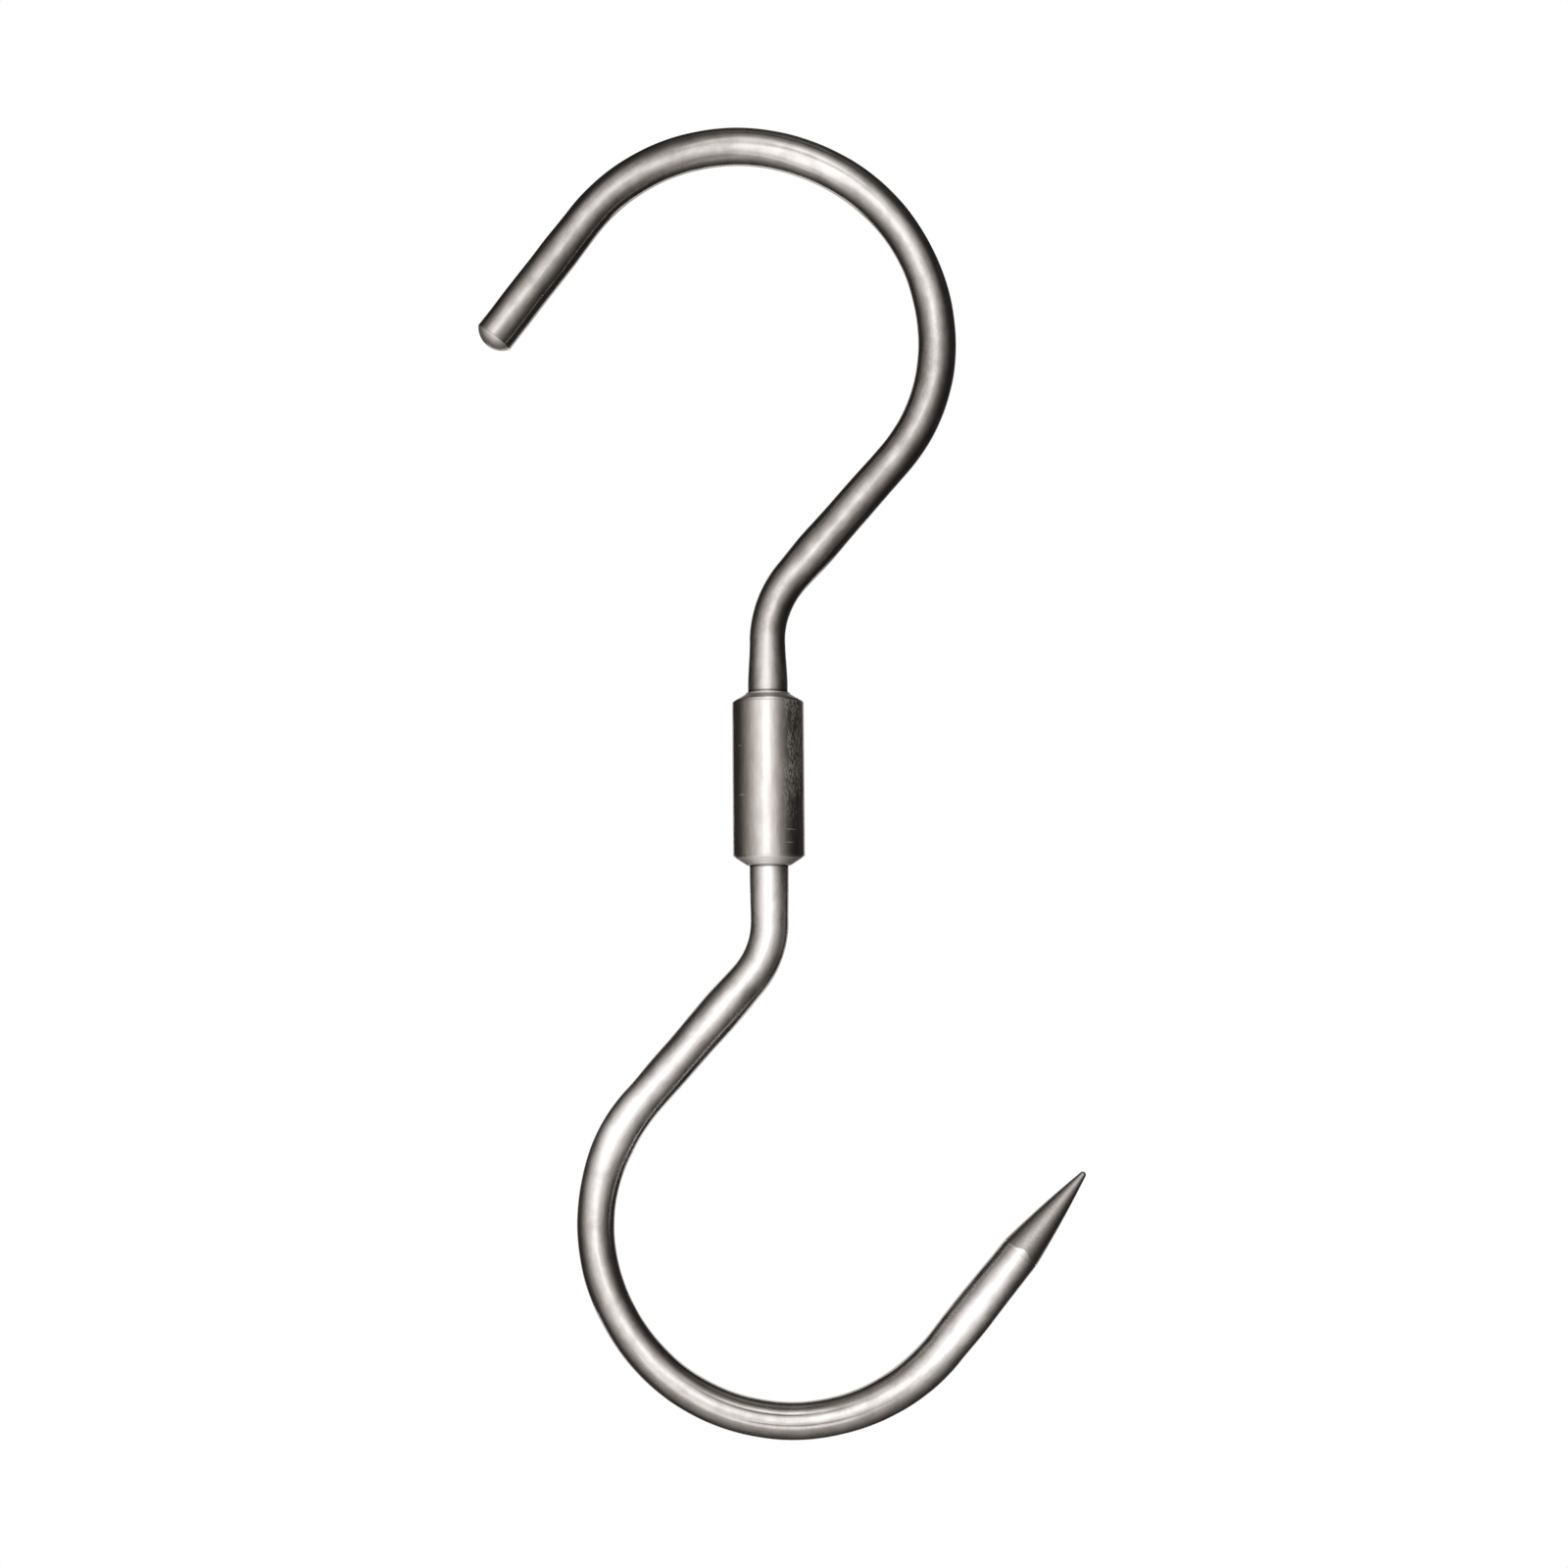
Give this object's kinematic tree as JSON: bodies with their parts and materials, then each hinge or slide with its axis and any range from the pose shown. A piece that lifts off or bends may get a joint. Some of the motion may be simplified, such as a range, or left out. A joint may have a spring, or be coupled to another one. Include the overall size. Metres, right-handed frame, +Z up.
{
  "type": "swivel s hook",
  "caption": "Swivel S hook: a blunt upper hook and a pointed lower hook bent from round bar, joined by a turned barrel that lets the lower hook spin.",
  "frame": {"origin": "the rail seat: the top of the inner side of the upper hook's bow, where the hook hangs on its rail", "axes": "+Z up along the swivel axis, +X towards the lower hook's point, the hook lies in the XZ plane"},
  "size_m": [0.1204, 0.0144, 0.2633],
  "materials": {
    "hook_bar": "polished stainless bar with fine lengthwise drawing lines, ground ends",
    "barrel": "turned stainless steel, lightly scuffed"
  },
  "bodies": {
    "upper": {"upper_hook": "hook_bar", "swivel_barrel": "barrel"},
    "lower": {"lower_hook": "hook_bar"}
  },
  "joints": [
    {"name": "swivel", "type": "hinge", "parent": "upper", "child": "lower", "pos_m": [0.00578, 0, -0.12514], "axis": [0, 0, 1], "continuous": true}
  ]
}
